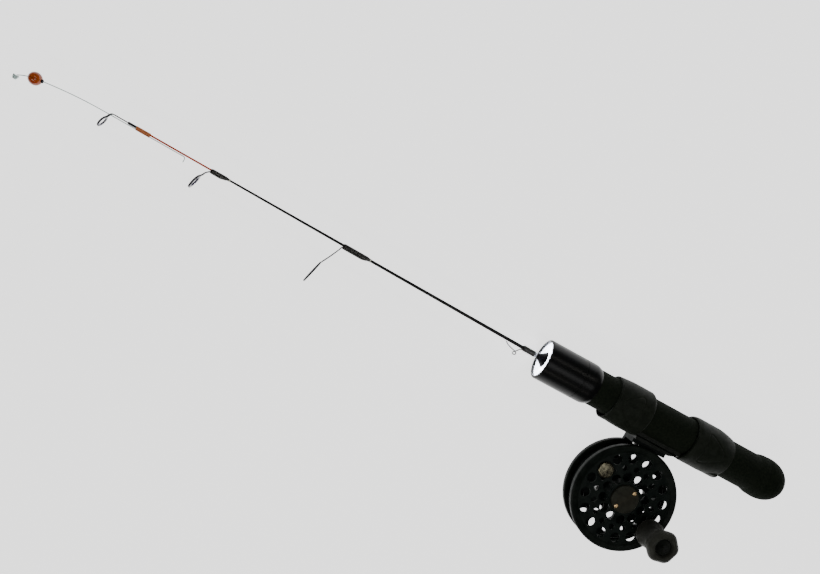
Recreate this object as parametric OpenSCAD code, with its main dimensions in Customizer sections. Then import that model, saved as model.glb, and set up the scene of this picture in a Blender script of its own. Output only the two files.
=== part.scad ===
/* [Handle] */
// Radius of the foam grip under the reel-seat rings
grip_r = 12.5; // [11:0.1:13]
// Radius of the foam neck behind the light housing
neck_r = 12.0; // [11:0.1:12.4]
// Largest radius of the butt, which rests on the ground beside the reel
butt_r = 14.05; // [13.5:0.05:15]
// Distance of the butt's end behind the reel's axis
butt_reach = 94.9; // [90:0.5:110]

/* [Light] */
// Outer radius of the light housing
head_r = 13.4; // [13:0.1:14]
// Distance of the housing's front face ahead of the reel's axis
face_x = 89.6; // [88:0.2:92]
// Length of the turning front shell
shell_len = 26.2; // [25:0.2:28]
// Length of the fixed rear collar
collar_len = 11.6; // [11:0.2:12]
// Number of light-emitting diodes
led_count = 10; // [6:1:12]

/* [Blank] */
// Angle that the blank leans away from the guides' side, in degrees
blank_lean = 1.05; // [0:0.05:2]
// Radius of the blank at the light housing
blank_r0 = 1.2; // [1:0.05:1.3]
// Radius of the blank at its thin end
blank_r1 = 0.62; // [0.58:0.02:0.7]
// Radius of the orange solid tip
tip_r = 0.55; // [0.45:0.01:0.57]

/* [Reel] */
// Radius of the spool face and of the frame disc
reel_r = 35; // [34:0.5:36]
// Height from the frame disc's back to the spool face's rim
reel_t = 18.6; // [18:0.2:19]
// Distance between the reel's axis and the handle's axis
reel_drop = 53.1; // [52.5:0.1:55]
// Length of the reel foot
foot_len = 56; // [52:1:58]
// Radius of the circle that the crank knob travels on
knob_orbit = 28.2; // [26:0.1:29]
// Direction of the knob from the reel's axis, in degrees from the rod's direction
knob_dir = 155; // [140:1:170]
// Height of the crank knob
knob_len = 23; // [20:0.5:24]

/* [Hidden] */
$fn = 64;

// Common fits
fit_gap = 0.05;

// Places along the handle, measured along the rod from the reel's axis
rod_z = butt_r;
seam_x = face_x - shell_len;
collar_x = seam_x - collar_len;
cap_seam_x = -76.6;
core_r = 3;
neck_end_x = 38.9;
flare_x = -71;
butt_peak_x = -79.5;

// Reel-seat rings: places, bores and walls
seat_rise = 2.7;
ring_bore = grip_r + 0.1;
front_ring_x = 13.1;
front_ring_len = 25.4;
rear_ring_x = -48.5;
rear_ring_len = 28.6;

// Reel heights above the ground, which the drag knob's face touches
disc_z = rod_z - reel_t / 2;
face_top_z = rod_z + reel_t / 2;
disc_t = 2.6;
spool_face_t = 3;
flange_z = disc_z + disc_t + 2.2;
flange_t = 1.4;
arbor_r = 10;
spindle_r = 3;
bush_r = 4.2;
hole_r = 3.2;
face_z = face_top_z - spool_face_t;
knob_at = [knob_orbit * cos(knob_dir), knob_orbit * sin(knob_dir)];
weight_orbit = 23.2;
weight_dir = knob_dir - 182.8;
hole_phase = knob_dir - 2.8;
weight_at = [weight_orbit * cos(weight_dir), weight_orbit * sin(weight_dir)];
foot_mid_x = -3;
stem_half = 12.3;

// Places along the blank, measured from the light housing's face
blank_end = 232;
blank_seat = 50;
seat_r = 1.6;
keeper_from = 3.9;
keeper_to = 14.7;
lower_from = 124.8;
lower_to = 143.2;
upper_from = 220.4;
upper_to = 232.2;
sleeve_from = 271.6;
tube_from = 280.2;
tube_to = 285.6;
tip_bend = 296.4;
tip_tube_r = 0.8;
wire_r = 0.22;
wire_w = 1.15;
tab_at = 248.4;
sag_start = 300;
sag_radius = 266;
sag_angle = 9;
hook_radius = 26;
hook_angle = 22;

// Points of an arc in a half-section, from angle a0 to a1
function arc(cx, cy, r, a0, a1, n = 8) =
    [for (i = [0:n]) [cx + r * cos(a0 + (a1 - a0) * i / n), cy + r * sin(a0 + (a1 - a0) * i / n)]];

// Radius of the blank at a distance from the light housing's face
function blank_r(u) = blank_r0 + (blank_r1 - blank_r0) * u / blank_end;

// A body turned about the handle's axis; the half-section is [radius, place along the rod]
module turned(side = 0) {
    translate([0, side - reel_drop, rod_z])
        rotate([0, 90, 0])
        rotate_extrude()
        children();
}

// Local frame on the blank: X along it, Y towards the guides' side
module on_blank(u, w = 0, z = 0) {
    translate([face_x, -reel_drop, rod_z])
        rotate([0, 0, -blank_lean])
        translate([u, w, z])
        children();
}

// Direction of a path at its point i
function heading(p, i) =
    let (d = p[min(i + 1, len(p) - 1)] - p[max(i - 1, 0)])
    d / norm(d);

// A wire swept through a path that never runs straight up, as one solid
module wire(p, r, sides = 8) {
    n = len(p) - 1;
    points = [for (i = [0:n], k = [0:sides - 1])
        let (t = heading(p, i), across = cross([0, 0, 1], t), a = across / norm(across), b = cross(t, a))
        p[i] + r * (cos(360 * k / sides) * a + sin(360 * k / sides) * b)];
    skin = [for (i = [0:n - 1], k = [0:sides - 1])
        let (m = (k + 1) % sides)
        [i * sides + k, (i + 1) * sides + k, (i + 1) * sides + m, i * sides + m]];
    first = [for (k = [0:sides - 1]) k];
    last = [for (k = [sides - 1:-1:0]) n * sides + k];
    polyhedron(points = points, faces = concat(skin, [first], [last]), convexity = 8);
}

// A cone along the blank's X axis
module along(u0, u1, ra, rb) {
    translate([u0, 0, 0])
        rotate([0, 90, 0])
        cylinder(h = u1 - u0, r1 = ra, r2 = rb);
}

// A thread winding with tapered ends over the blank
module winding(from, to, r) {
    end = 2.2;
    on_blank(0) difference() {
        union() {
            along(from, from + end, blank_r(from) + 0.15, r);
            along(from + end, to - end / 2, r, r);
            along(to - end / 2, to, r, blank_r(to) + 0.2);
        }
        along(from - 1, to + 1, blank_r(from - 1), blank_r(to + 1));
    }
}

// A helical spring of round wire about the Z axis, as one swept solid
module coil(r, wire, pitch, turns) {
    steps = 10;
    sides = 6;
    n = floor(steps * turns);
    points = [for (i = [0:n], k = [0:sides - 1])
        let (a = 360 * i / steps, b = 360 * k / sides, q = r + wire * cos(b))
        [q * cos(a), q * sin(a), pitch * i / steps + wire * sin(b)]];
    skin = [for (i = [0:n - 1], k = [0:sides - 1])
        let (m = (k + 1) % sides)
        [i * sides + k, i * sides + m, (i + 1) * sides + m, (i + 1) * sides + k]];
    first = [for (k = [sides - 1:-1:0]) k];
    last = [for (k = [0:sides - 1]) n * sides + k];
    polyhedron(points = points, faces = concat(skin, [first], [last]), convexity = 8);
}

// Holes in a circle about the reel's axis, without those whose numbers are in skip
module hole_ring(count, orbit, r, phase, z, h, skip = []) {
    for (i = [0:count - 1]) if (len(search(i, skip)) == 0) {
        rotate([0, 0, phase + 360 * i / count])
            translate([orbit, 0, z])
            cylinder(h = h, r = r, $fn = 32);
    }
}

// ---- Handle ----

module butt_cap() {
    color("#181816")
        turned() {
            polygon(concat(
                [[0, cap_seam_x - 0.15], [butt_r - 0.35, cap_seam_x - 0.15]],
                [for (i = [0:12])
                    let (t = 90 * i / 12, q = 2 / 2.25)
                    [butt_r * pow(cos(t), q),
                     butt_peak_x - (butt_reach + butt_peak_x) * pow(sin(t), q)]]));
        }
}

module grip_foam() {
    color("#1c1c1a")
        turned()
            polygon(concat(
                [[core_r, cap_seam_x], [core_r, collar_x], [neck_r, collar_x],
                 [neck_r, neck_end_x + 1], [grip_r, neck_end_x - 1], [grip_r, flare_x]],
                [for (i = [1:6])
                    let (t = i / 6)
                    [grip_r + (butt_r - 0.2 - grip_r) * sin(90 * t), flare_x + (cap_seam_x - flare_x) * t]]));
}

module core_tube() {
    color("silver")
        turned()
            polygon([[seat_r, -72], [core_r, -72], [core_r, face_x - 7], [seat_r, face_x - 7]]);
}

// ---- Light housing ----

spigot_r = 12.0;
spigot_len = 8.5;

module rear_collar() {
    color("#0c0c10")
        turned()
            polygon(concat(
                [[core_r, collar_x + 3], [core_r, collar_x]],
                arc(head_r - 9.6, collar_x + 5, 9.6, -31, 0, 7),
                [[head_r, seam_x], [spigot_r, seam_x], [spigot_r, seam_x + 3],
                 [spigot_r - 1.1, seam_x + 3], [spigot_r - 1.1, seam_x + 4.2],
                 [spigot_r, seam_x + 4.2], [spigot_r, seam_x + spigot_len],
                 [10.6, seam_x + spigot_len], [10.6, collar_x + 3]]));
}

module head_shell() {
    rear = seam_x + 0.25;
    color("#0c0c10")
        turned()
            polygon(concat(
                [[spigot_r + fit_gap, rear], [head_r, rear], [head_r, face_x - 0.8]],
                arc(head_r - 0.8, face_x - 0.8, 0.8, 0, 90, 4),
                [[11.9, face_x], [11.9, face_x - 2.6], [11.9, face_x - 11],
                 [spigot_r + fit_gap, face_x - 11]]));
}

module lens() {
    color([0.9, 0.95, 1, 0.4])
        turned()
            polygon([[5.2, face_x - 2.6], [11.9, face_x - 2.6], [11.9, face_x - 1.4], [5.2, face_x - 1.4]]);
}

module reflector() {
    color("white")
        turned()
            polygon([[5.2, face_x - 6.6], [11.9, face_x - 6.6], [11.9, face_x - 2.6], [11.3, face_x - 2.6],
                     [10.7, face_x - 6], [5.7, face_x - 6], [5.5, face_x - 2.6], [5.2, face_x - 2.6]]);
}

module led_board() {
    color("#e8e8e0")
        turned()
            polygon([[4.9, face_x - 7.8], [11.9, face_x - 7.8], [11.9, face_x - 6.6], [4.9, face_x - 6.6]]);
}

module leds() {
    color("#f4f6ff")
        for (i = [0:led_count - 1])
            translate([face_x - 6, -reel_drop, rod_z])
                rotate([360 * i / led_count, 0, 0])
                translate([0, 8.2, 0])
                rotate([0, 90, 0])
                cylinder(h = 2.2, r = 1.4, $fn = 24);
}

module head_contact() {
    color("gold")
        turned()
            polygon([[6, face_x - 8.4], [10, face_x - 8.4], [10, face_x - 7.8], [6, face_x - 7.8]]);
}

module o_ring() {
    color("#222222")
        turned()
            translate([spigot_r - 0.55, seam_x + 3.6])
            circle(r = 0.53, $fn = 24);
}

cell_r = 3.4;
cell_orbit = 6.7;
cell_t = 2.6;
cells_x = seam_x - 1;

module cell_places(x) {
    for (i = [0:2])
        translate([x, -reel_drop, rod_z])
            rotate([30 + 120 * i, 0, 0])
            translate([0, cell_orbit, 0])
            rotate([0, 90, 0])
            children();
}

module cell_carrier() {
    color("#d8d4c8")
        difference() {
            turned()
                polygon([[core_r, cells_x], [9.4, cells_x], [9.4, cells_x + 3 * cell_t],
                         [core_r, cells_x + 3 * cell_t]]);
            cell_places(cells_x - 1)
                cylinder(h = 3 * cell_t + 2, r = cell_r + 0.02);
        }
}

module button_cells() {
    color("#c8ccd0")
        for (k = [0:2])
            cell_places(cells_x + k * cell_t + 0.02)
                cylinder(h = cell_t - 0.04, r = cell_r);
}

module contact_plate() {
    color("gold")
        turned()
            polygon([[core_r + 0.4, collar_x + 3], [10.4, collar_x + 3], [10.4, collar_x + 3.5],
                     [core_r + 0.4, collar_x + 3.5]]);
}

module contact_springs() {
    gap = cells_x - (collar_x + 3.5);
    color("#b0b4b8")
        cell_places(collar_x + 3.5 + 0.3)
            coil(2.2, 0.25, (gap - 0.6) / 4, 4);
}

module cone_ferrule() {
    color("#15151c")
        difference() {
            turned()
                polygon([[0, face_x - 7], [4.5, face_x - 7], [4.9, face_x - 3], [4.9, face_x - 1.4],
                         [2.3, face_x + 2.2], [1.9, face_x + 3.7], [0, face_x + 3.7]]);
            turned()
                polygon([[0, face_x - 8], [seat_r, face_x - 8], [seat_r, face_x - 2],
                         [blank_r0 + 0.12, face_x - 2], [blank_r0 + 0.12, face_x + 5], [0, face_x + 5]]);
        }
}

// ---- Reel-seat rings ----

// A soft ring with a cupped front lip, bulging over the reel foot
module seat_ring(x0, len, r_free, rise, r_lip, r_back, lip_len, back_len) {
    module skin(drop) {
        polygon(concat(
            [[4, x0], [r_back - drop, x0]],
            [for (i = [1:5])
                let (t = 90 * i / 5)
                [r_back - drop + (r_free - r_back + drop) * sin(t), x0 + back_len * (1 - cos(t))]],
            [[r_free, x0 + len - lip_len]],
            [for (i = [1:5])
                let (t = 90 * i / 5)
                [r_lip - drop + (r_free - r_lip + drop) * cos(t),
                 x0 + len - lip_len + (lip_len - 0.5) * sin(t)]],
            [[r_lip - drop - 0.5, x0 + len], [4, x0 + len]]));
    }
    difference() {
        union() {
            turned() skin(0);
            turned(rise) skin(1.2);
        }
        turned()
            polygon([[0, x0 - 1], [ring_bore, x0 - 1], [ring_bore, x0 + len + 1], [0, x0 + len + 1]]);
        intersection() {
            turned(seat_rise)
                polygon([[0, x0 - 1], [ring_bore, x0 - 1], [ring_bore, x0 + len + 1], [0, x0 + len + 1]]);
            translate([x0 - 2, -reel_drop, rod_z - 7.3])
                cube([len + 4, grip_r + seat_rise + 2, 14.6]);
        }
    }
}

module front_ring() {
    color("#55504a")
        seat_ring(front_ring_x, front_ring_len, 14.85, 2.05, 13.7, 14.1, 14, 2);
}

module rear_ring() {
    color("#55504a")
        seat_ring(rear_ring_x, rear_ring_len, 15.1, 1.5, 14.2, 13.2, 3.5, 12);
}

// ---- Blank and its fittings ----

module blank() {
    color("#16181a") {
        translate([face_x - blank_seat, -reel_drop, rod_z])
            rotate([0, 90, 0])
            cylinder(h = blank_seat - 2, r = seat_r);
        on_blank(0) along(-2.6, blank_end, blank_r(-2.6), blank_r1);
    }
}

module orange_tip() {
    color("#c8602c")
        on_blank(0) along(blank_end, tube_to - 1, tip_r, tip_r);
}

foot_r = 0.36;
foot_z = 0.42;
keeper_r = 0.32;
keeper_w = blank_r0 + keeper_r + 0.02;
keeper_eye = [17.5, 5.6];

module keeper_winding() {
    color("#0e0e0e")
        difference() {
            winding(keeper_from, keeper_to, 1.95);
            on_blank(0, keeper_w) along(keeper_to - 4, keeper_to + 1, keeper_r + 0.02, keeper_r + 0.02);
        }
}

// One bent wire: a foot under the winding, a leg, a turned eye, and a leg back to the blank
module hook_keeper() {
    color("#20242a")
        on_blank(0)
            wire(concat(
                [[keeper_to - 3.8, keeper_w, 0], [keeper_to + 0.4, keeper_w, 0],
                 [keeper_to + 0.9, keeper_w + 0.3, 0], [keeper_to + 2.3, keeper_w + 2.6, -0.3]],
                [for (a = [-60:30:240])
                    [keeper_eye[0] + 0.95 * cos(a), keeper_eye[1] + 0.95 * sin(a), 0.38 * (a - 90) / 150]],
                [[18.4, 4.4, 0.3], [23.4, 3.0, 0], [25.0, keeper_w + 0.7, 0], [26.0, keeper_w, 0]]),
                 keeper_r);
}

// Wire frame and holding band of a single-foot guide
module guide_frame(from, to, ring_u, ring_w, ring_od, ring_lean, leg_bend) {
    low = blank_r(from) + foot_r + 0.02;
    band = ring_od / 2;
    reach = (band - 0.2) * cos(18);
    color("#1c2026")
        on_blank(0) {
            for (side = [-1, 1])
                wire([[from + 3, low, side * foot_z], [to + 0.2, low, side * foot_z],
                      [leg_bend[0], leg_bend[1], side * (foot_z + 0.1)],
                      [ring_u - reach * sin(ring_lean), ring_w - reach * cos(ring_lean),
                       side * (band - 0.2) * sin(18)]], foot_r);
            translate([ring_u, ring_w, 0])
                rotate([0, 90, -ring_lean])
                rotate_extrude()
                translate([band - 0.55, -0.55])
                square([0.55, 1.1]);
        }
}

// Polished ring seated in a guide's band
module guide_ring(ring_u, ring_w, ring_od, ring_lean, thick) {
    out = ring_od / 2 - 0.55;
    color("#262838")
        on_blank(ring_u, ring_w)
            rotate([0, 90, -ring_lean])
            rotate_extrude()
            polygon([[out, -0.6], [out, 0.6], [out - thick + 0.4, 0.6], [out - thick, 0.3],
                     [out - thick, -0.3], [out - thick + 0.4, -0.6]]);
}

// Slots in a winding where the two wires of a guide's foot lie
module foot_slot(from, to) {
    for (side = [-1, 1])
        on_blank(0, blank_r(from) + foot_r + 0.02, side * foot_z)
            along(from + 2.8, to + 1, foot_r + 0.01, foot_r + 0.01);
}

module lower_winding() {
    color("#0e0e0e")
        difference() {
            union() {
                winding(lower_from, lower_to, 1.45);
                foot_cover(lower_from, lower_to);
            }
            foot_slot(lower_from, lower_to);
            on_blank(0) along(lower_from - 1, lower_to + 1, blank_r(lower_from - 1), blank_r(lower_to + 1));
        }
}

// Thread that covers a guide's foot, tapering at both ends
module foot_cover(from, to) {
    on_blank(0, blank_r(from) + 0.3, 0) {
        along(from + 1.6, from + 5, 0.3, 1.12);
        along(from + 5, to - 1.2, 1.12, 1.12);
        along(to - 1.2, to, 1.12, 0.95);
    }
}

module lower_guide_frame() {
    guide_frame(lower_from, lower_to, 151.8, 23.0, 15.5, 13.4, [lower_to + 1, 3.6]);
}

module lower_guide_ring() {
    guide_ring(151.8, 23.0, 15.5, 13.4, 1.3);
}

module upper_winding() {
    color("#0e0e0e")
        difference() {
            union() {
                winding(upper_from, upper_to, 1.15);
                foot_cover(upper_from, upper_to);
            }
            foot_slot(upper_from, upper_to);
            on_blank(0) along(upper_from - 1, upper_to + 1, blank_r(upper_from - 1), blank_r(upper_to + 1));
        }
}

module upper_guide_frame() {
    guide_frame(upper_from, upper_to, 237.5, 10.7, 9.7, 14.3, [upper_to + 2.2, 3.2]);
}

module upper_guide_ring() {
    guide_ring(237.5, 10.7, 9.7, 14.3, 1.1);
}

module tip_tube() {
    color("#101214")
        on_blank(0) difference() {
            along(tube_from, tube_to, tip_tube_r, tip_tube_r);
            along(tube_from - 1, tube_to - 1, tip_r, tip_r);
        }
}

tip_at = [298.6, 6.6];
tip_reach = 3.4;

module tip_frame() {
    r = 0.33;
    z = 0.95;
    color("#1c2026")
        on_blank(0) {
            for (side = [-1, 1]) {
                wire([[tube_to + 0.12, 0, side * 0.46], [tube_to + 1.8, 0, side * z],
                      [tip_bend - 1.6, 0, side * z], [tip_bend - 0.5, 0.4, side * z],
                      [tip_bend + 0.4, 1.5, side * z], [tip_at[0] - tip_reach * sin(15),
                       tip_at[1] - tip_reach * cos(15), side * 1.1]], r);
            }
            translate([tip_at[0], tip_at[1], 0])
                rotate([0, 90, -15])
                rotate_extrude()
                translate([3.3, -0.45])
                square([0.5, 0.9]);
        }
}

module tip_ring() {
    color("#262838")
        on_blank(tip_at[0], tip_at[1])
            rotate([0, 90, -15])
            rotate_extrude()
            polygon([[3.3, -0.5], [3.3, 0.5], [2.7, 0.5], [2.4, 0.25], [2.4, -0.25], [2.7, -0.5]]);
}

module trim_bands() {
    color("#c8ccc0")
        for (at = [lower_from, upper_from])
            on_blank(0) difference() {
                along(at - 0.7, at, blank_r(at) + 0.22, blank_r(at) + 0.22);
                along(at - 1.7, at + 1, blank_r(at - 1.7), blank_r(at + 1));
            }
}

module bobber_sleeve() {
    color("#d08a60")
        on_blank(0) difference() {
            union() {
                along(sleeve_from, tube_from, 0.95, 0.95);
                translate([0, wire_w, 0]) along(sleeve_from, tube_from, 0.5, 0.5);
            }
            along(sleeve_from - 1, tube_from + 1, tip_r, tip_r);
            translate([0, wire_w, 0])
                along(sleeve_from - 1, tube_from + 1, wire_r + fit_gap, wire_r + fit_gap);
        }
}

// ---- Spring bobber ----

sag_end = [sag_start + sag_radius * sin(sag_angle), wire_w + sag_radius * (1 - cos(sag_angle))];
bead_at = 341.3;
bead_angle = asin((bead_at - sag_start) / sag_radius);
bead_w = wire_w + sag_radius * (1 - cos(bead_angle));
bead_r = 3.9;
bead_bore_r = wire_r + 0.25;
hook_end = sag_end + hook_radius
    * [sin(sag_angle + hook_angle) - sin(sag_angle), cos(sag_angle) - cos(sag_angle + hook_angle)];

module bobber_wire() {
    corner = 0.9;
    color("#8fa6a4")
        on_blank(0)
            wire(concat(
                [[tab_at, wire_w + 3.2, 0]],
                [for (a = [180:-18:90])
                    [tab_at + corner + corner * cos(a), wire_w + corner - corner * sin(a), 0]],
                [for (a = [0:1.5:sag_angle])
                    [sag_start + sag_radius * sin(a), wire_w + sag_radius * (1 - cos(a)), 0]],
                [for (a = [2.2:2.2:hook_angle])
                    [sag_end[0] + hook_radius * (sin(sag_angle + a) - sin(sag_angle)),
                     sag_end[1] + hook_radius * (cos(sag_angle) - cos(sag_angle + a)), 0]]), wire_r);
}

module bobber_bead() {
    color("#c04a10")
        on_blank(bead_at, bead_w)
            rotate([0, 0, bead_angle])
            rotate([0, 90, 0])
            rotate_extrude()
            polygon(concat([[bead_bore_r, -bead_r - 0.6], [0.9, -bead_r - 0.6], [1.4, -bead_r + 0.2]],
                arc(0, 0, bead_r, -66, 82, 20), [[bead_bore_r, bead_r - 0.05]]));
}

module bobber_coil() {
    color("#9fb4b4")
        on_blank(hook_end[0], hook_end[1])
            rotate([0, 0, 78])
            rotate([0, 90, 0])
            translate([0, 0, 0.05]) {
                for (i = [0:4])
                    translate([0, 0, 0.48 * i + 0.55])
                        rotate_extrude()
                        translate([1.55 - 0.16 * i, 0])
                        circle(r = 0.27, $fn = 24);
                cylinder(h = 0.45, r = 1.5);
            }
}

// ---- Reel frame ----

frame_phase = 19;

module frame_disc() {
    color("#101612")
        difference() {
            union() {
                translate([0, 0, disc_z]) cylinder(h = disc_t, r = reel_r - 1, $fn = 128);
                translate([0, 0, disc_z])
                    rotate_extrude($fn = 128)
                    polygon(concat([[reel_r - 2, 0]], arc(reel_r - 1.2, 1.2, 1.2, -90, 0, 4),
                        arc(reel_r - 0.9, disc_t + 0.8, 0.9, 0, 90, 4), [[reel_r - 2, disc_t + 1.7]]));
                translate([0, 0, disc_z - 1]) cylinder(h = 1, r = 13);
            }
            translate([0, 0, disc_z - 2]) cylinder(h = disc_t + 4, r = spindle_r);
            translate([0, 0, disc_z + disc_t - 0.2]) cylinder(h = 1, r = 5.9);
            hole_ring(16, 26, 3.5, frame_phase, disc_z - 1, disc_t + 3);
            hole_ring(12, 17, 3.1, 18, disc_z - 1, disc_t + 3);
            translate([-stem_half - 0.1, -reel_r - 1, disc_z - 1])
                cube([2 * stem_half + 0.2, reel_r + 1 - stem_in, 12]);
        }
}

stem_y = -reel_drop + grip_r + 3.6;
stem_in = 30.8;
stem_top = rod_z + 4;

// Bracket that joins the frame disc to the foot
module reel_stem() {
    color("#141a16")
        difference() {
            union() {
                translate([-stem_half, stem_y, disc_z])
                    cube([2 * stem_half, 2.8, stem_top - disc_z]);
                translate([-stem_half, stem_y, disc_z])
                    cube([2 * stem_half, -stem_in - stem_y - 0.1, disc_t]);
            }
            for (x = [-7, 7])
                translate([x, stem_y - 1, rod_z])
                    rotate([-90, 0, 0])
                    cylinder(h = 6, r = 1.25, $fn = 32);
        }
}

module reel_foot() {
    half = foot_len / 2;
    lip = 6.4;
    color("#23281f")
        difference() {
            intersection() {
                translate([foot_mid_x - half, -reel_drop, rod_z - lip])
                    cube([foot_len, grip_r + 6, 2 * lip]);
                union() {
                    turned(seat_rise - 0.3)
                        polygon([[0, foot_mid_x - half], [grip_r - 0.7, foot_mid_x - half],
                                 [grip_r, foot_mid_x - half + 4], [grip_r, foot_mid_x + half - 4],
                                 [grip_r - 0.7, foot_mid_x + half], [0, foot_mid_x + half]]);
                    translate([0, -reel_drop, rod_z - lip])
                        linear_extrude(2 * lip)
                        polygon([[-stem_half - 6, grip_r + 1.5], [-stem_half, grip_r + 3.6],
                                 [stem_half, grip_r + 3.6], [stem_half + 0.6, grip_r + 1.5]]);
                }
            }
            turned()
                polygon([[0, -60], [grip_r, -60], [grip_r, 60], [0, 60]]);
            for (x = [-7, 7])
                translate([x, -reel_drop + grip_r - 2, rod_z])
                    rotate([-90, 0, 0])
                    cylinder(h = 9, r = 1.25, $fn = 32);
        }
}

module foot_screws() {
    color("silver")
        for (x = [-7, 7])
            translate([x, -reel_drop + grip_r + 0.6, rod_z])
                rotate([-90, 0, 0]) {
                    cylinder(h = 5.8, r = 1.25, $fn = 32);
                    translate([0, 0, 5.8]) cylinder(h = 1.2, r = 2.2, $fn = 32);
                }
}

spindle_z = disc_z - 3.2;

module spindle() {
    color("silver")
        difference() {
            union() {
                translate([0, 0, spindle_z]) cylinder(h = face_z - spindle_z, r = spindle_r);
                translate([0, 0, disc_z + disc_t]) cylinder(h = 1, r = 4.6);
            }
            translate([0, 0, face_z - 5.8]) cylinder(h = 7, r = 1.25);
        }
}

module spindle_screw() {
    color("silver")
        translate([0, 0, face_z - 5.6]) {
            cylinder(h = 5.6, r = 1.25);
            translate([0, 0, 5.6]) cylinder(h = 0.9, r = 3.8);
        }
}

gear_r = 6.4;
gear_z = disc_z + disc_t + 1;
gear_t = flange_z - gear_z;
pawl_at = [11.6, 4.2];

module click_gear() {
    teeth = 18;
    color("#d8c890")
        translate([0, 0, gear_z])
            difference() {
                linear_extrude(gear_t)
                    polygon([for (i = [0:2 * teeth - 1])
                        (i % 2 == 0 ? gear_r : gear_r - 0.9) * [cos(180 * i / teeth), sin(180 * i / teeth)]]);
                translate([0, 0, -1]) cylinder(h = 4, r = bush_r + 0.5);
            }
}

module click_pawl() {
    color("#b8bcc0")
        translate([pawl_at[0], pawl_at[1], gear_z])
            difference() {
                union() {
                    cylinder(h = 0.9, r = 2);
                    linear_extrude(0.9)
                        polygon([[-1.2, 1.6], [-4.5, -0.8], [-4.7, -1.7], [1.2, -1.6]]);
                }
                translate([0, 0, -1]) cylinder(h = 3, r = 1 + fit_gap);
            }
}

module pawl_pin() {
    color("silver")
        translate([pawl_at[0], pawl_at[1], disc_z + disc_t]) {
            cylinder(h = 1.9, r = 1);
            cylinder(h = 0.9, r = 1.6);
        }
}

module pawl_spring() {
    color("#b0b4b8")
        translate([pawl_at[0] + 3.7, pawl_at[1] + 0.6, disc_z + disc_t + 0.22])
            coil(1.2, 0.2, 0.45, 3);
}

module drag_washers() {
    color("#7a5230")
        for (z = [disc_z - 1.5, disc_z - 2.1])
            translate([0, 0, z])
                difference() {
                    cylinder(h = 0.45, r = 8);
                    translate([0, 0, -1]) cylinder(h = 3, r = spindle_r + fit_gap);
                }
}

module drag_spring() {
    color("#b0b4b8")
        translate([0, 0, disc_z + disc_t + 0.06])
            rotate_extrude()
            translate([5.4, 0])
            circle(r = 0.25, $fn = 24);
}

module drag_knob() {
    color("#1a1d1c")
        difference() {
            rotate_extrude()
                polygon(concat([[0, 0]], arc(10.2, 0.8, 0.8, -90, 0, 4),
                    [[11, disc_z - 2.5], [8.4, disc_z - 2.5], [8.4, 2.2], [3.2, 2.2], [3.2, 1.2], [0, 1.2]]));
            for (i = [0:11])
                rotate([0, 0, 30 * i])
                    translate([11.9, 0, -1])
                    cylinder(h = 8, r = 1.4, $fn = 32);
        }
}

// ---- Spool ----

module spool_face() {
    color("#121814")
        difference() {
            translate([0, 0, face_z])
                rotate_extrude($fn = 128)
                polygon(concat(
                    [[bush_r, 0.9], [32, 0.9], [33.2, -1.4]],
                    arc(reel_r - 0.8, -0.7, 0.8, -60, 0, 4),
                    arc(reel_r - 1.4, spool_face_t - 1.4, 1.4, 0, 80, 5),
                    [[31.2, 2.5], [30.2, 2.1], [14, 2.1], [12, 2.7], [bush_r, 2.7]]));
            hole_ring(16, 26, hole_r, hole_phase, face_z - 2, 8, [0, 8]);
            hole_ring(16, 19.8, 1.9, hole_phase + 11.25, face_z - 2, 8);
            hole_ring(12, 13.9, 3.1, 21, face_z - 2, 8);
            hole_ring(4, 7, 0.8, 45, face_z - 2, 8);
            translate([knob_at[0], knob_at[1], face_z - 2]) cylinder(h = 8, r = 2);
            translate([weight_at[0], weight_at[1], face_z - 2]) cylinder(h = 8, r = 2.6);
            translate([0, 0, face_z + 1.6]) cylinder(h = 4, r = 9.3);
        }
}

module spool_arbor() {
    top = face_z + 0.9 - flange_z;
    color("#161c18")
        translate([0, 0, flange_z])
            difference() {
                rotate_extrude()
                    polygon([[bush_r, 0], [9, 0], [9, flange_t], [arbor_r + 1, flange_t],
                             [arbor_r, flange_t + 1], [arbor_r, top], [bush_r, top]]);
                hole_ring(4, 7, 0.8, 45, top - 5, 6);
            }
}

module rear_flange() {
    color("#161c18")
        translate([0, 0, flange_z])
            difference() {
                rotate_extrude($fn = 128)
                    polygon([[9, 0], [31, 0], [31.5, 0.7], [31, flange_t], [9, flange_t]]);
                hole_ring(16, 26.2, 3.8, 9, -1, 4);
                hole_ring(8, 15.2, 3.9, 18, -1, 4);
            }
}

module spool_screws() {
    color("silver")
        for (i = [0:3])
            rotate([0, 0, 45 + 90 * i])
                translate([7, 0, face_z - 3])
                cylinder(h = 4.2, r = 0.8, $fn = 24);
}

module spool_bush() {
    color("#c8a050")
        translate([0, 0, gear_z + 0.1])
            difference() {
                cylinder(h = face_z - gear_z - 0.9, r = bush_r);
                translate([0, 0, -1]) cylinder(h = 30, r = spindle_r + fit_gap);
            }
}

module counterweight() {
    color("#d8d0c0")
        translate([weight_at[0], weight_at[1], face_z - 1]) {
            cylinder(h = 3.1, r = 2.6);
            translate([0, 0, 3.1])
                rotate_extrude()
                polygon(concat([[0, 0], [5.2, 0]], arc(4.4, 0.9, 0.8, 0, 90, 4), [[0, 1.9]]));
        }
}

module centre_cap() {
    color("#2c241e")
        difference() {
            translate([0, 0, face_z + 1.6])
                rotate_extrude()
                polygon(concat([[0, 0.9], [8, 0.9], [8, 0], [9.2, 0]],
                    arc(8.5, 1.8, 0.7, 0, 90, 4), [[0, 2.5]]));
            for (a = [0, 180])
                rotate([0, 0, 61 + a])
                    translate([7.0, 0, face_z])
                    cylinder(h = 9, r = 0.7, $fn = 24);
        }
}

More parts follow.
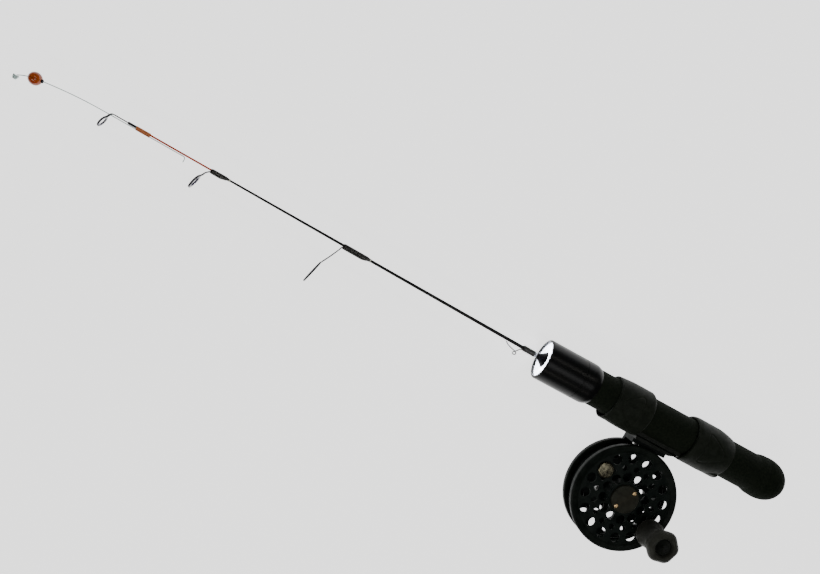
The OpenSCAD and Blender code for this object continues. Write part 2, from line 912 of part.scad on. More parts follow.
module cap_rivets() {
    color("#c89a50")
        for (a = [0, 180])
            rotate([0, 0, 61 + a])
                translate([7.0, 0, face_z + 2.5]) {
                    cylinder(h = 1.6, r = 0.7, $fn = 24);
                    translate([0, 0, 1.6])
                        rotate_extrude($fn = 32)
                        polygon(concat([[0, 0]], arc(0.8, 0, 0.6, 0, 90, 4), [[0, 0.6]]));
                }
}

knob_z = face_top_z + 0.2;
knob_seat = knob_len - 8;
knob_flare = 10.4;

module knob_post() {
    shaft = knob_z - face_z + knob_seat + 0.8;
    color("silver")
        translate([knob_at[0], knob_at[1], face_z - 0.4]) {
            cylinder(h = shaft, r = 2);
            cylinder(h = 1.3, r = 2.9);
            translate([0, 0, shaft]) cylinder(h = 1, r = 3.4);
        }
}

module crank_knob() {
    color("#4a4640")
        translate([knob_at[0], knob_at[1], knob_z])
            rotate_extrude()
            polygon(concat(
                [[2 + fit_gap, 0], [9, 0]],
                [for (i = [0:12])
                    let (t = i / 12)
                    [9.3 - 1.6 * sin(180 * pow(t, 0.9)) + (knob_flare - 9.3) * t * t,
                     0.5 + (knob_len - 4) * t]],
                arc(knob_flare - 3, knob_len - 3.4, 3, 5, 85, 5),
                [[5.6, knob_len - 0.6], [5.3, knob_len - 1.8], [5.3, knob_seat + 2.2],
                 [3.7, knob_seat + 2.2], [3.7, knob_seat], [2 + fit_gap, knob_seat]]));
}

module knob_plug() {
    color("#1e1c1a")
        translate([knob_at[0], knob_at[1], knob_z + knob_seat + 2.2])
            rotate_extrude()
            polygon([[0, 0.8], [3.9, 0.8], [3.9, 0], [5.3, 0], [5.3, 3.4], [3.6, 2.9], [0, 2.6]]);
}

butt_cap();
grip_foam();
core_tube();
rear_collar();
cone_ferrule();
blank();
orange_tip();
keeper_winding();
hook_keeper();
lower_winding();
lower_guide_frame();
lower_guide_ring();
upper_winding();
upper_guide_frame();
upper_guide_ring();
tip_tube();
tip_frame();
tip_ring();
trim_bands();
bobber_sleeve();
head_shell();
lens();
led_board();
leds();
reflector();
head_contact();
o_ring();
cell_carrier();
button_cells();
contact_plate();
contact_springs();
front_ring();
rear_ring();
reel_foot();
foot_screws();
frame_disc();
reel_stem();
spindle();
click_pawl();
pawl_pin();
pawl_spring();
drag_washers();
drag_spring();
drag_knob();
spool_face();
spool_arbor();
rear_flange();
spool_screws();
spool_bush();
spindle_screw();
click_gear();
counterweight();
centre_cap();
cap_rivets();
knob_post();
crank_knob();
knob_plug();
bobber_wire();
bobber_bead();
bobber_coil();
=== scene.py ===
import bpy, bmesh, math
from mathutils import Matrix, Vector


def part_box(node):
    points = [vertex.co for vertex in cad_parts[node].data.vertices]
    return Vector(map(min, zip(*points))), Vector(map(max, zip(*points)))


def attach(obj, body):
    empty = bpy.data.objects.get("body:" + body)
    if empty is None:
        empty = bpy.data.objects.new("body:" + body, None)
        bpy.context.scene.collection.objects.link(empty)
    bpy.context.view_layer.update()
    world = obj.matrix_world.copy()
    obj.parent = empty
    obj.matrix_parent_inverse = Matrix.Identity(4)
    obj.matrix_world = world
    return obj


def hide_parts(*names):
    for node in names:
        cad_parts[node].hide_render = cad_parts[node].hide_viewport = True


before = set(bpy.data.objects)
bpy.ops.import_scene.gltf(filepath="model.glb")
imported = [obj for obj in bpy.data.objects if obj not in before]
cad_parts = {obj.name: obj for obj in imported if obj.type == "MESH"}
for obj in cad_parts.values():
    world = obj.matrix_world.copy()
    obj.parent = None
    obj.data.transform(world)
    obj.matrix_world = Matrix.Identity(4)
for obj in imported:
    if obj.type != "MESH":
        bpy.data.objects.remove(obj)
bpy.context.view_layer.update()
MM = 0.001

# ---- Places taken from the CAD model ----

def middle(node):
    lo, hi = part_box(node)
    return (Vector(lo) + Vector(hi)) / 2

def span(node, axis):
    lo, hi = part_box(node)
    return lo[axis], hi[axis]

ROD = Vector((0, middle("core_tube").y, middle("core_tube").z))
FACE_X = span("head_shell", 0)[1]
KNOB = middle("knob_plug")
LEAN = math.radians(1.05)
BLANK = Matrix.Translation((FACE_X, ROD.y, ROD.z)) @ Matrix.Rotation(-LEAN, 4, "Z")

# ---- Materials ----

def material(name, colour, rough, metal=0.0, spec=0.5, coat=0.0, coat_rough=0.08, mottle=0.0,
             mottle_scale=60.0, rough_var=0.0, grain=0.0, grain_scale=900.0, second=None, wear_and_highlight=0.0,
             wear_and_highlight_colour=(0.3, 0.3, 0.3), sheen=0.0, stretch=(1, 1, 1), dist=0.0002, ior=1.5):
    m = bpy.data.materials.new(name)
    m.use_nodes = True
    nt = m.node_tree
    b = nt.nodes["Principled BSDF"]
    b.inputs["Base Color"].default_value = (*colour, 1)
    b.inputs["Roughness"].default_value = rough
    b.inputs["Metallic"].default_value = metal
    b.inputs["Specular IOR Level"].default_value = spec
    b.inputs["Coat Weight"].default_value = coat
    b.inputs["IOR"].default_value = ior
    b.inputs["Coat Roughness"].default_value = coat_rough
    b.inputs["Sheen Weight"].default_value = sheen
    co = nt.nodes.new("ShaderNodeTexCoord")
    mp = nt.nodes.new("ShaderNodeMapping")
    mp.inputs["Scale"].default_value = stretch
    nt.links.new(co.outputs["Object"], mp.inputs["Vector"])

    def noise(scale, detail=4.0):
        n = nt.nodes.new("ShaderNodeTexNoise")
        n.inputs["Scale"].default_value = scale
        n.inputs["Detail"].default_value = detail
        nt.links.new(mp.outputs["Vector"], n.inputs["Vector"])
        return n.outputs["Fac"]

    def remap(src, lo, hi, a=0.35, c=0.65):
        r = nt.nodes.new("ShaderNodeMapRange")
        r.inputs["From Min"].default_value = a
        r.inputs["From Max"].default_value = c
        r.inputs["To Min"].default_value = lo
        r.inputs["To Max"].default_value = hi
        nt.links.new(src, r.inputs["Value"])
        return r.outputs["Result"]

    def mix(fac, a, c):
        x = nt.nodes.new("ShaderNodeMix")
        x.data_type = "RGBA"
        nt.links.new(fac, x.inputs["Factor"])
        for sock, val in ((x.inputs[6], a), (x.inputs[7], c)):
            if isinstance(val, tuple):
                sock.default_value = (*val, 1)
            else:
                nt.links.new(val, sock)
        return x.outputs[2]

    base = None
    if mottle:
        other = second or tuple(min(1.0, v * (1 + 1.4 * mottle) + 0.01 * mottle) for v in colour)
        base = mix(remap(noise(mottle_scale), 0.0, 1.0), colour, other)
    # Lighter colour on convex edges (Pointiness): real edge wear on some parts, and on the reel a painted highlight
    # along its rims and edges.
    if wear_and_highlight:
        geo = nt.nodes.new("ShaderNodeNewGeometry")
        edge = remap(geo.outputs["Pointiness"], 0.0, wear_and_highlight, 0.52, 0.6)
        base = mix(edge, base or colour, wear_and_highlight_colour)
    if base:
        nt.links.new(base, b.inputs["Base Color"])
    if rough_var:
        nt.links.new(remap(noise(mottle_scale * 2.3), rough - rough_var, rough + rough_var),
                     b.inputs["Roughness"])
    if grain:
        bump = nt.nodes.new("ShaderNodeBump")
        bump.inputs["Strength"].default_value = grain
        bump.inputs["Distance"].default_value = dist
        nt.links.new(noise(grain_scale, 6.0), bump.inputs["Height"])
        nt.links.new(bump.outputs["Normal"], b.inputs["Normal"])
    return m

def glow(name, colour, strength, rough=0.3):
    m = material(name, colour, rough)
    b = m.node_tree.nodes["Principled BSDF"]
    b.inputs["Emission Color"].default_value = (*colour, 1)
    b.inputs["Emission Strength"].default_value = strength
    return m

def threads(m, scale, strength, turn=0.0):
    nt = m.node_tree
    b = nt.nodes["Principled BSDF"]
    co = nt.nodes.new("ShaderNodeTexCoord")
    mp = nt.nodes.new("ShaderNodeMapping")
    mp.inputs["Rotation"].default_value = (0, 0, turn)
    w = nt.nodes.new("ShaderNodeTexWave")
    w.inputs["Scale"].default_value = scale
    w.inputs["Distortion"].default_value = 0.4
    bump = nt.nodes.new("ShaderNodeBump")
    bump.inputs["Strength"].default_value = strength
    bump.inputs["Distance"].default_value = 0.0001
    nt.links.new(co.outputs["Object"], mp.inputs["Vector"])
    nt.links.new(mp.outputs["Vector"], w.inputs["Vector"])
    nt.links.new(w.outputs["Fac"], bump.inputs["Height"])
    nt.links.new(bump.outputs["Normal"], b.inputs["Normal"])
    return m

M = {
    "foam": material("foam", (0.0048, 0.0072, 0.0044), 0.85, ior=1.3, spec=0.12, mottle=0.9,
                     mottle_scale=900, grain=0.5, grain_scale=2600, rough_var=0.06, dist=0.0003,
                     second=(0.0095, 0.0125, 0.0080)),
    "cap_rubber": material("cap_rubber", (0.0046, 0.0074, 0.0042), 0.8, ior=1.3, spec=0.08, mottle=0.8,
                           mottle_scale=500, grain=0.35, grain_scale=1900, rough_var=0.08,
                           second=(0.0085, 0.0115, 0.0070)),
    "housing": material("housing", (0.0018, 0.0023, 0.0021), 0.3, ior=1.3, spec=0.3, mottle=0.2,
                        mottle_scale=90, rough_var=0.0, grain=0.0, grain_scale=500,
                        second=(0.0024, 0.0025, 0.0030)),
    "dark_plastic": material("dark_plastic", (0.004, 0.004, 0.007), 0.3, ior=1.3, spec=0.3, mottle=0.6,
                             mottle_scale=300, grain=0.1, rough_var=0.06),
    "graphite": material("graphite", (0.0026, 0.0032, 0.0032), 0.3, ior=1.3, spec=0.25, mottle=0.6,
                         mottle_scale=400, grain=0.1, grain_scale=1500, rough_var=0.06),
    "orange_tip": material("orange_tip", (0.44, 0.045, 0.007), 0.42, spec=0.22, mottle=0.25,
                           mottle_scale=260, grain=0.08, rough_var=0.08),
    "winding": threads(material("winding", (0.0016, 0.0018, 0.0016), 0.16, spec=0.3, coat=0.4,
                                coat_rough=0.06, mottle=0.5, mottle_scale=300), 900, 0.15, LEAN),
    "black_wire": material("black_wire", (0.003, 0.0045, 0.006), 0.28, ior=1.3, spec=0.35, mottle=0.5,
                           mottle_scale=500, coat=0.15, rough_var=0.06, grain=0.05),
    "ceramic": material("ceramic", (0.006, 0.005, 0.02), 0.12, spec=0.5, coat=0.5, coat_rough=0.04,
                        mottle=0.8, mottle_scale=120, second=(0.03, 0.02, 0.09), rough_var=0.03),
    "trim": threads(material("trim", (0.45, 0.46, 0.4), 0.35, coat=0.3, mottle=0.3, mottle_scale=500), 1400,
                    0.2, LEAN),
    "sleeve": material("sleeve", (0.40, 0.125, 0.042), 0.5, spec=0.25, mottle=0.3, mottle_scale=300,
                       grain=0.1, rough_var=0.08),
    "led_board": material("led_board", (0.85, 0.86, 0.85), 0.4, mottle=0.1, grain=0.1, rough_var=0.05),
    "led": glow("led", (0.95, 0.96, 1.0), 8.0),
    # The reflector is no lamp: its emission is a painted glow standing in for the LED light reflected in it.
    "reflector": glow("reflector", (0.94, 0.95, 1.0), 3.2, 0.2),
    "brass": material("brass", (0.66, 0.44, 0.16), 0.28, metal=1.0, mottle=0.3, rough_var=0.08, grain=0.08),
    "steel": material("steel", (0.42, 0.42, 0.41), 0.3, metal=1.0, mottle=0.25, mottle_scale=250,
                      rough_var=0.1, grain=0.08, grain_scale=1400, stretch=(1, 1, 6)),
    "nylon": material("nylon", (0.62, 0.6, 0.52), 0.5, mottle=0.2, grain=0.2, rough_var=0.08),
    "seat_rubber": material("seat_rubber", (0.0062, 0.0084, 0.0054), 0.55, ior=1.3, spec=0.14, mottle=0.3,
                            mottle_scale=260, grain=0.18, grain_scale=1500, rough_var=0.06, sheen=0.02),
    "foot": material("foot", (0.0024, 0.004, 0.0028), 0.42, ior=1.3, spec=0.22, mottle=0.5, mottle_scale=300,
                     grain=0.15, rough_var=0.08, wear_and_highlight=0.4, wear_and_highlight_colour=(0.012, 0.012, 0.010)),
    # The reel's teal edge colour is a painted highlight on its rims and edges, not wear.
    "reel": material("reel", (0.0014, 0.0032, 0.0021), 0.46, ior=1.3, spec=0.16, mottle=0.5,
                     mottle_scale=200, grain=0.08, grain_scale=1700, rough_var=0.06, wear_and_highlight=0.15,
                     wear_and_highlight_colour=(0.004, 0.010, 0.010)),
    "felt": material("felt", (0.05, 0.03, 0.018), 0.95, mottle=0.6, mottle_scale=900, grain=0.8,
                     grain_scale=2500, sheen=0.2),
    "drag": material("drag", (0.0035, 0.0045, 0.004), 0.5, ior=1.3, spec=0.25, mottle=0.5, mottle_scale=400,
                     grain=0.35, grain_scale=2200, rough_var=0.08, wear_and_highlight=0.4,
                     wear_and_highlight_colour=(0.015, 0.015, 0.015)),
    "chrome": material("chrome", (0.035, 0.033, 0.022), 0.24, metal=1.0, mottle=0.5, mottle_scale=420,
                       rough_var=0.08, grain=0.12, grain_scale=700, second=(0.12, 0.11, 0.075)),
    "cap_brown": material("cap_brown", (0.0088, 0.0100, 0.0068), 0.38, ior=1.3, spec=0.2, mottle=0.5,
                          mottle_scale=350, grain=0.12, rough_var=0.07, wear_and_highlight=0.5,
                          wear_and_highlight_colour=(0.04, 0.032, 0.02)),
    "gold": material("gold", (0.66, 0.46, 0.24), 0.25, metal=1.0, mottle=0.25, rough_var=0.06, grain=0.06),
    "knob_rubber": material("knob_rubber", (0.0165, 0.0175, 0.0140), 0.5, ior=1.3, spec=0.3, mottle=0.3,
                            mottle_scale=240, grain=0.2, grain_scale=1500, rough_var=0.07, sheen=0.06),
    "plug": material("plug", (0.003, 0.004, 0.003), 0.45, ior=1.3, spec=0.2, mottle=0.5, grain=0.2,
                     rough_var=0.08),
    "bobber_steel": material("bobber_steel", (0.20, 0.30, 0.29), 0.35, metal=0.6, mottle=0.3,
                             mottle_scale=500, rough_var=0.08, grain=0.05),
    "coil": material("coil", (0.42, 0.52, 0.51), 0.4, metal=0.2, mottle=0.3, mottle_scale=700,
                     rough_var=0.08, grain=0.05),
}
bead = material("bead", (0.30, 0.036, 0.001), 0.08, spec=0.3, coat=0.25, coat_rough=0.04, mottle=0.4,
                mottle_scale=160,
                second=(0.42, 0.10, 0.006), rough_var=0.03)
bead.node_tree.nodes["Principled BSDF"].inputs["Transmission Weight"].default_value = 0.35
M["bead"] = bead
glass = material("glass", (0.93, 0.96, 1.0), 0.03, mottle=0.05, rough_var=0.02)
glass.node_tree.nodes["Principled BSDF"].inputs["Transmission Weight"].default_value = 1.0
M["glass"] = glass

LOOK = {
    "foam": ["grip_foam"], "cap_rubber": ["butt_cap", "o_ring"], "housing": ["rear_collar", "head_shell"],
    "dark_plastic": ["cone_ferrule"], "graphite": ["blank"], "orange_tip": ["orange_tip"],
    "winding": ["keeper_winding", "lower_winding", "upper_winding"],
    "black_wire": ["hook_keeper", "lower_guide_frame", "upper_guide_frame", "tip_tube", "tip_frame"],
    "ceramic": ["lower_guide_ring", "upper_guide_ring", "tip_ring"], "trim": ["trim_bands"],
    "sleeve": ["bobber_sleeve"], "glass": ["lens"], "led_board": ["led_board"], "led": ["leds"],
    "reflector": ["reflector"], "brass": ["head_contact", "contact_plate", "spool_bush"],
    "steel": ["core_tube", "button_cells", "contact_springs", "foot_screws", "spindle", "click_pawl",
              "pawl_pin",
              "pawl_spring", "drag_spring", "spool_screws", "spindle_screw", "knob_post"],
    "nylon": ["cell_carrier", "click_gear"], "seat_rubber": ["front_ring",
                                                             "rear_ring"], "foot": ["reel_foot"],
    "reel": ["frame_disc", "reel_stem", "spool_face", "spool_arbor", "rear_flange"], "felt": ["drag_washers"],
    "drag": ["drag_knob"], "chrome": ["counterweight"], "cap_brown": ["centre_cap"], "gold": ["cap_rivets"],
    "knob_rubber": ["crank_knob"], "plug": ["knob_plug"], "bobber_steel": ["bobber_wire"], "bead": ["bobber_bead"],
    "coil": ["bobber_coil"],
}
for look, nodes in LOOK.items():
    for n in nodes:
        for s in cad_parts[n].material_slots:
            s.material = M[look]

# ---- Mesh tools ----

def finish_mesh(name, verts, faces, look, body, nodes, smooth=True, subdiv=0):
    me = bpy.data.meshes.new(name)
    me.from_pydata([tuple(v) for v in verts], [], faces)
    bm = bmesh.new()
    bm.from_mesh(me)
    bmesh.ops.remove_doubles(bm, verts=bm.verts, dist=1e-7)
    bmesh.ops.recalc_face_normals(bm, faces=bm.faces)
    bm.to_mesh(me)
    bm.free()
    for p in me.polygons:
        p.use_smooth = smooth
    me.materials.append(M[look])
    o = bpy.data.objects.new(name, me)
    bpy.context.scene.collection.objects.link(o)
    if subdiv:
        mod = o.modifiers.new("subdivision", "SUBSURF")
        mod.levels = mod.render_levels = subdiv
    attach(o, body)
    if nodes:
        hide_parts(*nodes)
    return o

def smooth_path(points, steps=6):
    p = [Vector(q) for q in points]
    p = [2 * p[0] - p[1]] + p + [2 * p[-1] - p[-2]]
    out = []
    for i in range(1, len(p) - 2):
        a, b, c, d = p[i - 1:i + 3]
        for k in range(steps):
            t = k / steps
            out.append(0.5 * (2 * b + (c - a) * t + (2 * a - 5 * b + 4 * c - d) * t * t
                              + (3 * b - a - 3 * c + d) * t ** 3))
    out.append(p[-2])
    return out

def tube_data(path, r, sides=14, offset=0):
    verts, faces = [], []
    side = None
    n = len(path)
    for i, p in enumerate(path):
        t = (path[min(i + 1, n - 1)] - path[max(i - 1, 0)]).normalized()
        if side is None:
            side = t.cross(Vector((0, 0, 1))) if abs(t.z) < 0.9 else t.cross(Vector((1, 0, 0)))
        side = (side - t * side.dot(t)).normalized()
        up = t.cross(side)
        rr = r(i / (n - 1)) if callable(r) else r
        end = 0.55 if i in (0, n - 1) else 1.0
        for k in range(sides):
            a = 2 * math.pi * k / sides
            verts.append(p + rr * end * (math.cos(a) * side + math.sin(a) * up))
        if i:
            for k in range(sides):
                m = (k + 1) % sides
                faces.append((offset + (i - 1) * sides + k, offset + (i - 1) * sides + m,
                              offset + i * sides + m, offset + i * sides + k))
    faces.append(tuple(offset + k for k in range(sides))[::-1])
    faces.append(tuple(offset + (n - 1) * sides + k for k in range(sides)))
    return verts, faces

def lathe_data(profile, place, n=96, offset=0, radial=None):
    """profile is [(radius, height)] in mm, closed, turned about place's Z axis."""
    verts, faces = [], []
    m = len(profile)
    for i in range(n):
        a = 2 * math.pi * i / n
        for r, h in profile:
            rr = r * (radial(a, h, r) if radial else 1)
            verts.append(place @ Vector((rr * math.cos(a) * MM, rr * math.sin(a) * MM, h * MM)))
    for i in range(n):
        j = (i + 1) % n
        for k in range(m):
            q = (k + 1) % m
            faces.append((offset + i * m + k, offset + i * m + q, offset + j * m + q, offset + j * m + k))
    return verts, faces

def joined(parts):
    verts, faces = [], []
    for v, f in parts:
        base = len(verts)
        verts += v
        faces += [tuple(base + i for i in q) for q in f]
    return verts, faces

def on_blank(points):
    return [BLANK @ (Vector(p) * MM) for p in points]

def rounded(r0, r1, h0, h1, b=0.3, n=4):
    """Closed half-section of a ring with rounded corners."""
    out = []
    for cx, cy, a0 in ((r1 - b, h0 + b, -90), (r1 - b, h1 - b, 0), (r0 + b, h1 - b, 90), (r0 + b, h0 + b, 180)):
        for i in range(n + 1):
            a = math.radians(a0 + 90 * i / n)
            out.append((cx + b * math.cos(a), cy + b * math.sin(a)))
    return out

# ---- Line guides, hook keeper and tip ----

def guide(tag, start, end, base_r, ring_u, ring_w, od, lean, bend, thick):
    band = od / 2
    c, s = math.cos(math.radians(lean)), math.sin(math.radians(lean))
    place = BLANK @ Matrix.Translation((ring_u * MM, ring_w * MM, 0)) @ Matrix.Rotation(-math.radians(lean), 4, "Z") \
        @ Matrix.Rotation(math.pi / 2, 4, "Y")
    parts = []
    low = base_r + 0.38
    reach = (band - 0.2) * math.cos(math.radians(18))
    for side in (-1, 1):
        zr = side * (band - 0.2) * math.sin(math.radians(18))
        top = (ring_u - reach * s, ring_w - reach * c, zr)
        mid = ((bend[0] + top[0]) / 2 - 0.2, (bend[1] + top[1]) / 2, (side * 0.5 + zr) / 2)
        pts = [(start + 3, low, side * 0.42), (end - 1.5, low, side * 0.42),
               (end + 0.2, low + 0.25, side * 0.43),
               (bend[0], bend[1], side * 0.5), mid, top]
        parts.append(tube_data(smooth_path(on_blank(pts)), 0.36 * MM))
    parts.append(lathe_data(rounded(band - 0.6, band, -0.55, 0.55, 0.26), place))
    v, f = joined(parts)
    finish_mesh(tag + "_wire", v, f, "black_wire", "handle", [tag + "_guide_frame"])
    v, f = lathe_data(rounded(band - 0.55 - thick, band - 0.52, -0.62, 0.62, 0.55, 6), place)
    finish_mesh(tag + "_insert", v, f, "ceramic", "handle", [tag + "_guide_ring"])

guide("lower", 124.8, 143.2, 0.89, 151.8, 23.0, 15.5, 13.4, (144.2, 3.6), 1.3)
guide("upper", 220.4, 232.2, 0.65, 237.5, 10.7, 9.7, 14.3, (234.4, 3.2), 1.1)

TIP = BLANK @ Matrix.Translation((298.6 * MM, 6.6 * MM, 0)) @ Matrix.Rotation(-math.radians(15), 4, "Z") \
    @ Matrix.Rotation(math.pi / 2, 4, "Y")
tip_parts = []
for side in (-1, 1):
    pts = [(285.4, 0, side * 0.46), (287.4, 0, side * 0.95), (291, 0, side * 0.95), (294.8, 0, side * 0.95),
           (296.0, 0.5, side * 0.95), (296.8, 1.6, side * 0.97), (297.7, 3.3, side * 1.1)]
    tip_parts.append(tube_data(smooth_path(on_blank(pts)), 0.33 * MM))
tip_parts.append(lathe_data(rounded(3.25, 3.8, -0.45, 0.45, 0.22), TIP, 64))
v, f = joined(tip_parts)
finish_mesh("tip_wire", v, f, "black_wire", "handle", ["tip_frame"])
v, f = lathe_data(rounded(2.4, 3.28, -0.5, 0.5, 0.42, 6), TIP, 64)
finish_mesh("tip_insert", v, f, "ceramic", "handle", ["tip_ring"])

eye = [(17.5 + 0.95 * math.cos(math.radians(a)), 5.6 + 0.95 * math.sin(math.radians(a)), 0.38 * (a - 90) / 150)
       for a in range(-60, 241, 20)]
pts = [(10.9, 1.54, 0), (14.4, 1.54, 0), (15.5, 1.9, 0), (16.6, 3.4, -0.2)] + eye \
    + [(18.6, 4.2, 0.3), (21.0, 3.7, 0.1), (23.4, 3.0, 0), (24.8, 2.2, 0), (25.8, 1.6, 0)]
v, f = tube_data(smooth_path(on_blank(pts), 4), 0.32 * MM)
finish_mesh("keeper_wire", v, f, "black_wire", "handle", ["hook_keeper"])

# ---- Spring bobber ----

SAG0, SAG_R, SAG_A, WIRE_W = 300, 266, 9, 1.15
HOOK_R, HOOK_A = 26, 22
rad = math.radians
sag_end = (SAG0 + SAG_R * math.sin(rad(SAG_A)), WIRE_W + SAG_R * (1 - math.cos(rad(SAG_A))))
wire_pts = [(248.4, 4.35, 0), (248.4, 3.0, 0), (248.5, 2.0, 0), (249.0, 1.35, 0), (250.0, 1.15, 0),
            (262, 1.15, 0),
            (280, 1.15, 0)]
wire_pts += [(SAG0 + SAG_R * math.sin(rad(a)), WIRE_W + SAG_R * (1 - math.cos(rad(a))), 0)
             for a in (0, 1.5, 3, 4.5, 6, 7.5, 9)]
hook = [(sag_end[0] + HOOK_R * (math.sin(rad(SAG_A + a)) - math.sin(rad(SAG_A))),
         sag_end[1] + HOOK_R * (math.cos(rad(SAG_A)) - math.cos(rad(SAG_A + a))), 0) for a in range(2, HOOK_A + 1, 4)]
hook_end = (sag_end[0] + HOOK_R * (math.sin(rad(SAG_A + HOOK_A)) - math.sin(rad(SAG_A))),
            sag_end[1] + HOOK_R * (math.cos(rad(SAG_A)) - math.cos(rad(SAG_A + HOOK_A))))
v, f = tube_data(smooth_path(on_blank(wire_pts + hook)), 0.24 * MM, 12)
finish_mesh("bobber_line", v, f, "bobber_steel", "bobber", ["bobber_wire"])

bead_a = math.asin((341.3 - SAG0) / SAG_R)
bead_w = WIRE_W + SAG_R * (1 - math.cos(bead_a))
BEAD = BLANK @ Matrix.Translation((341.3 * MM, bead_w * MM, 0)) @ Matrix.Rotation(bead_a, 4, "Z") \
    @ Matrix.Rotation(math.pi / 2, 4, "Y")
ball = [(0.26, -3.85)] + [(3.9 * math.cos(rad(t)), 3.9 * math.sin(rad(t))) for t in range(-80, 86, 5)] + [(0.26, 3.85)]
v, f = lathe_data(ball, BEAD, 72)
finish_mesh("bead_ball", v, f, "bead", "bobber", ["bobber_bead"])
v, f = lathe_data(rounded(0.24, 1.15, -4.6, -3.5, 0.3), BEAD, 40)
finish_mesh("bead_stop", v, f, "dark_plastic", "bobber", [])

COIL = BLANK @ Matrix.Translation((hook_end[0] * MM, hook_end[1] * MM, 0)) @ Matrix.Rotation(rad(78), 4, "Z") \
    @ Matrix.Rotation(math.pi / 2, 4, "Y")
turns = [COIL @ (Vector(((1.6 - 0.13 * t) * math.cos(6.2832 * t), (1.6 - 0.13 * t) * math.sin(6.2832 * t),
                          0.1 + 0.5 * t)) * MM) for t in [i / 20 for i in range(0, 93)]]
v, f = tube_data(turns, 0.24 * MM, 10)
finish_mesh("line_coil", v, f, "coil", "bobber", ["bobber_coil"])

# ---- Reel-seat rings ----

def gap_to(path, x, s):
    best = 9.0
    for (x0, s0), (x1, s1) in zip(path, path[1:]):
        dx, ds = x1 - x0, s1 - s0
        t = max(0.0, min(1.0, ((x - x0) * dx + (s - s0) * ds) / (dx * dx + ds * ds)))
        best = min(best, math.hypot(x - x0 - t * dx, s - s0 - t * ds))
    return best

def seat(name, node, x0, length, r_free, rise, r_lip, r_back, lip, back, pad, body):
    nx, nt, ni = 90, 240, 8
    verts, faces = [], []

    def free(x):
        u = x - x0
        if u < back:
            return r_back + (r_free - r_back) * math.sin(math.pi / 2 * u / back)
        if u > length - lip:
            t = (u - length + lip) / lip
            return r_lip + (r_free - r_lip) * math.cos(math.pi / 2 * t)
        return r_free

    def outer(x, a):
        r = free(x)
        q = max(r - 1.2, 11.0)
        far = rise * math.sin(a) + math.sqrt(q * q - (rise * math.cos(a)) ** 2)
        k = 0.35
        m = max(r, far)
        return m + k * math.log(math.exp((r - m) / k) + math.exp((far - m) / k))

    def inner(x, a):
        r = 12.62
        if math.sin(a) > 0:
            side = abs(13.5 * math.cos(a))
            w = max(0.0, min(1.0, (7.6 - side) / 1.0))
            r += w * (2.7 * math.sin(a) + math.sqrt(12.6 ** 2 - (2.7 * math.cos(a)) ** 2) - 12.62)
        return r

    rows = []
    for i in range(nx + 1):
        t = i / nx
        x = x0 + length * t
        edge = min(1.0, math.sqrt(max(0.0, 1 - (1 - min((x - x0) / 0.5, 1)) ** 2)))
        lipe = min(1.0, math.sqrt(max(0.0, 1 - (1 - min((x0 + length - x) / 0.4, 1)) ** 2)))
        row = []
        for j in range(nt):
            a = 2 * math.pi * j / nt
            r = outer(x, a) - 0.5 * (1 - edge) - 0.4 * (1 - lipe)
            aa = (a + math.pi) % (2 * math.pi) - math.pi
            d = gap_to(pad, x, aa * 15)
            r -= 0.30 * math.exp(-(d / 0.38) ** 2)
            row.append((x, a, r))
        rows.append(row)
    for i in range(ni + 1):
        t = i / ni
        x = x0 + length - length * t
        row = []
        for j in range(nt):
            a = 2 * math.pi * j / nt
            cup = max(0.0, 1 - (x0 + length - x) / 4.5)
            thin = outer(x0 + length, a) - 1.0
            r = inner(x, a) + (max(thin - inner(x, a), 0)) * cup ** 1.5
            row.append((x, a, r))
        rows.append(row)
    for row in rows:
        for x, a, r in row:
            verts.append(Vector((x * MM, ROD.y + r * math.sin(a) * MM, ROD.z + r * math.cos(a) * MM)))
    n = len(rows)
    for i in range(n):
        k = (i + 1) % n
        for j in range(nt):
            m = (j + 1) % nt
            faces.append((i * nt + j, i * nt + m, k * nt + m, k * nt + j))
    finish_mesh(name, verts, faces, "seat_rubber", body, [node])

# Raised pad of each seat ring: a rounded triangle whose wide end faces the other ring
PAD_LENGTH, PAD_WIDE, PAD_NARROW, PAD_CORNER = 13.2, 10.5, 3.8, 1.8

def pad_outline(wide_x, way):
    c = PAD_CORNER
    slope = math.atan2(PAD_WIDE - PAD_NARROW, PAD_LENGTH - 2 * c)
    turn = math.pi / 2 - slope
    corners = [(PAD_LENGTH - c, PAD_NARROW - c, 0, turn), (c, PAD_WIDE - c, turn, math.pi)]
    half = []
    for u, v, a0, a1 in corners:
        for k in range(9):
            a = a0 + (a1 - a0) * k / 8
            half.append((wide_x + way * (u + c * math.cos(a)), v + c * math.sin(a)))
    return half + [(x, -y) for x, y in reversed(half)] + half[:1]

seat("front_sleeve", "front_ring", 13.1, 25.4, 14.85, 2.05, 13.9, 14.1, 14, 2, pad_outline(21.5, 1),
     "front_seat")
seat("rear_sleeve", "rear_ring", -48.5, 28.6, 15.1, 1.5, 14.4, 13.2, 3.5, 12, pad_outline(-27.5, -1),
     "rear_seat")

# ---- Crank knob ----

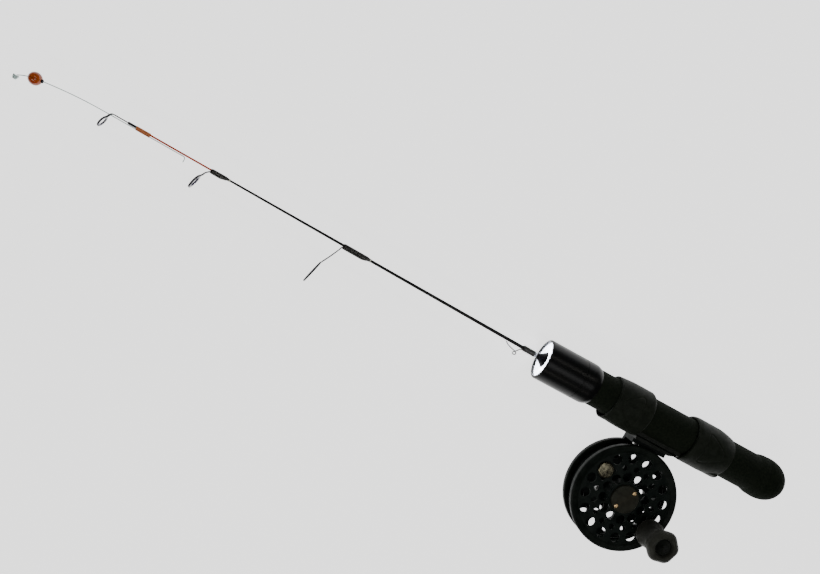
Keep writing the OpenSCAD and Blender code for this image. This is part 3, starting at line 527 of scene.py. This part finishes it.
kz = span("crank_knob", 2)
KNOB_PLACE = Matrix.Translation((KNOB.x, KNOB.y, kz[0]))
kh = (kz[1] - kz[0]) / MM
kx = span("crank_knob", 0)
kf = (kx[1] - kx[0]) / MM / 2
pz = span("knob_plug", 2)
seat_h = (pz[0] - kz[0]) / MM
shape = [(2.1, 0), (8.2, 0), (8.9, 0.2), (9.2, 0.04 * kh), (9.1, 0.11 * kh), (8.7, 0.2 * kh), (8.3, 0.3 * kh),
         (8.1, 0.4 * kh), (8.1, 0.47 * kh), (8.4, 0.55 * kh), (8.9, 0.64 * kh), (kf - 0.8, 0.72 * kh),
         (kf - 0.3, 0.79 * kh), (kf - 0.15, 0.85 * kh), (kf - 0.4, 0.9 * kh), (kf - 1.1, 0.945 * kh),
         (kf - 2, 0.98 * kh), (7.4, kh), (6.5, kh - 0.1), (5.9, kh - 0.6), (5.5, kh - 1.4), (5.3, kh - 2.4),
         (5.2, seat_h + 0.1), (2.1, seat_h)]

KNOB_WAIST, KNOB_TOP = 0.4 * kh, 0.36 * kh

def lobes(a, h, r):
    w = max(0.0, min(1.0, (h - KNOB_WAIST) / KNOB_TOP)) * max(0.0, min(1.0, (r - 5.6) / 2.5))
    return 1 + 0.035 * w * math.cos(6 * (a - 0.2))

v, f = lathe_data(shape, KNOB_PLACE, 120, radial=lobes)
finish_mesh("knob_grip", v, f, "knob_rubber", "knob", ["crank_knob"], subdiv=1)

# Soft dished end inside the grip
dish = [(0.02, 0.1), (5.15, 0.1), (5.2, 0.5), (5.25, 2.9), (5.0, 3.3), (4.4, 3.0), (3.4, 2.6), (2.0, 2.4),
        (0.02, 2.35)]
v, f = lathe_data(dish, Matrix.Translation((KNOB.x, KNOB.y, pz[0])), 64)
finish_mesh("knob_dish", v, f, "plug", "knob", ["knob_plug"])

# ---- Camera, floor and lights ----

cam = bpy.data.objects.new("camera", bpy.data.cameras.new("camera"))
bpy.context.scene.collection.objects.link(cam)
cam.location = (0.2389, -0.0692, 0.4395)
cam.rotation_euler = (math.radians(-5.4), math.radians(-5.27), math.radians(-151.03))
cam.data.sensor_width = 36
cam.data.lens = 30.73
cam.data.clip_start = 0.01
bpy.context.scene.camera = cam

floor_mesh = bpy.data.meshes.new("floor")
floor_mesh.from_pydata([(-4, -4, -0.0004), (4, -4, -0.0004), (4, 4, -0.0004), (-4, 4, -0.0004)], [],
                       [(0, 1, 2, 3)])
floor = bpy.data.objects.new("floor", floor_mesh)
bpy.context.scene.collection.objects.link(floor)
# The floor gives off light, so that the holes through the reel show bright
FLOOR_GLOW = 1.9
pale = material("floor", (0.35, 0.35, 0.35), 0.95, spec=0.02, mottle=0.01, mottle_scale=2)
pale.node_tree.nodes["Principled BSDF"].inputs["Emission Color"].default_value = (1, 1, 1, 1)
pale.node_tree.nodes["Principled BSDF"].inputs["Emission Strength"].default_value = FLOOR_GLOW
floor_mesh.materials.append(pale)

world = bpy.data.worlds.new("studio")
bpy.context.scene.world = world
world.use_nodes = True
world.node_tree.nodes["Background"].inputs["Color"].default_value = (1.0, 1.0, 1.0, 1)
world.node_tree.nodes["Background"].inputs["Strength"].default_value = 0.10

def lamp(name, place, aim, size, power, colour=(1, 1, 1)):
    d = bpy.data.lights.new(name, "AREA")
    d.shape = "RECTANGLE"
    d.size, d.size_y = size
    d.energy = power
    d.color = colour
    o = bpy.data.objects.new(name, d)
    o.location = place
    o.rotation_euler = (Vector(aim) - Vector(place)).to_track_quat("-Z", "Y").to_euler()
    bpy.context.scene.collection.objects.link(o)

lamp("key", (0.25, 0.75, 0.9), (0.05, -0.03, 0), (1.3, 0.10), 4, (1.0, 0.96, 0.88))
lamp("strip", (0.05, -0.62, 0.75), (0.05, -0.05, 0), (1.3, 0.05), 1.6, (1.0, 0.96, 0.88))
lamp("top", (-0.25, 0.1, 1.3), (0.05, -0.03, 0), (0.5, 0.5), 3)
